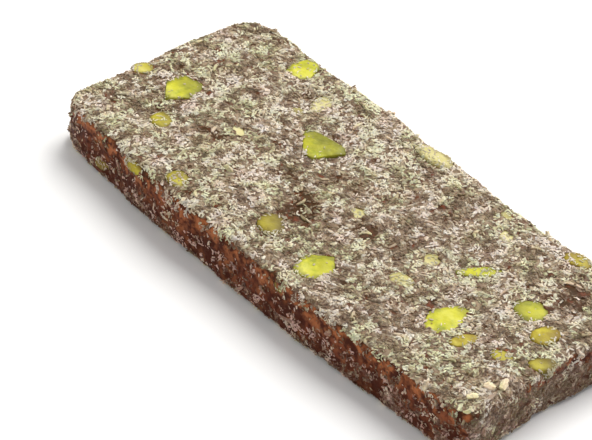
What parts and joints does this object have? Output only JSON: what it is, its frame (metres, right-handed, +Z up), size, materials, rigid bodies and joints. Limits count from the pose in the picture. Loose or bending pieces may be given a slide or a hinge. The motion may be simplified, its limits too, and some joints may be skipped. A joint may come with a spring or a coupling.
{
  "type": "carrot and pistachio confection slab",
  "caption": "Flat rounded rectangular slab of cooked carrot paste with embedded pistachio pieces and a desiccated coconut coating.",
  "frame": {"origin": "under the middle of the slab, on the surface that it lies on", "axes": "+X along the slab from its far end to its near end, +Y from its front side to its back side, +Z up through its thickness"},
  "size_m": [0.1038, 0.0478, 0.0111],
  "materials": {
    "carrot_paste": "glossy, slightly translucent cooked paste",
    "coconut": "dry desiccated shreds",
    "pistachio_bright": "cut kernel, satin",
    "pistachio_olive": "cut kernel, satin",
    "pistachio_mustard": "kernel soaked with paste, satin",
    "pistachio_pale": "kernel under a dusting of coconut"
  },
  "bodies": {
    "root": {"slab": "carrot_paste", "pistachio_01": "pistachio_olive", "pistachio_02": "pistachio_bright", "pistachio_03": "pistachio_olive", "pistachio_04": "pistachio_olive", "pistachio_05": "pistachio_bright", "pistachio_06": "pistachio_pale", "pistachio_07": "pistachio_pale", "pistachio_08": "pistachio_bright", "pistachio_09": "pistachio_pale", "pistachio_10": "pistachio_olive", "pistachio_11": "pistachio_bright", "pistachio_12": "pistachio_pale", "pistachio_13": "pistachio_pale", "pistachio_14": "pistachio_bright", "pistachio_15": "pistachio_bright", "pistachio_16": "pistachio_mustard", "pistachio_17": "pistachio_bright", "pistachio_18": "pistachio_mustard", "pistachio_19": "pistachio_olive", "pistachio_20": "pistachio_olive", "pistachio_21": "pistachio_pale", "pistachio_22": "pistachio_pale", "pistachio_23": "pistachio_mustard", "pistachio_24": "pistachio_pale", "pistachio_25": "pistachio_pale", "pistachio_26": "pistachio_pale", "pistachio_27": "pistachio_bright", "pistachio_28": "pistachio_olive", "pistachio_29": "pistachio_bright", "pistachio_30": "pistachio_mustard", "pistachio_31": "pistachio_bright", "pistachio_32": "pistachio_olive", "pistachio_33": "pistachio_pale", "pistachio_34": "pistachio_mustard", "pistachio_35": "pistachio_mustard", "pistachio_36": "pistachio_mustard", "pistachio_37": "pistachio_olive", "pistachio_38": "pistachio_bright", "pistachio_39": "pistachio_mustard", "pistachio_40": "pistachio_olive"}
  },
  "joints": []
}
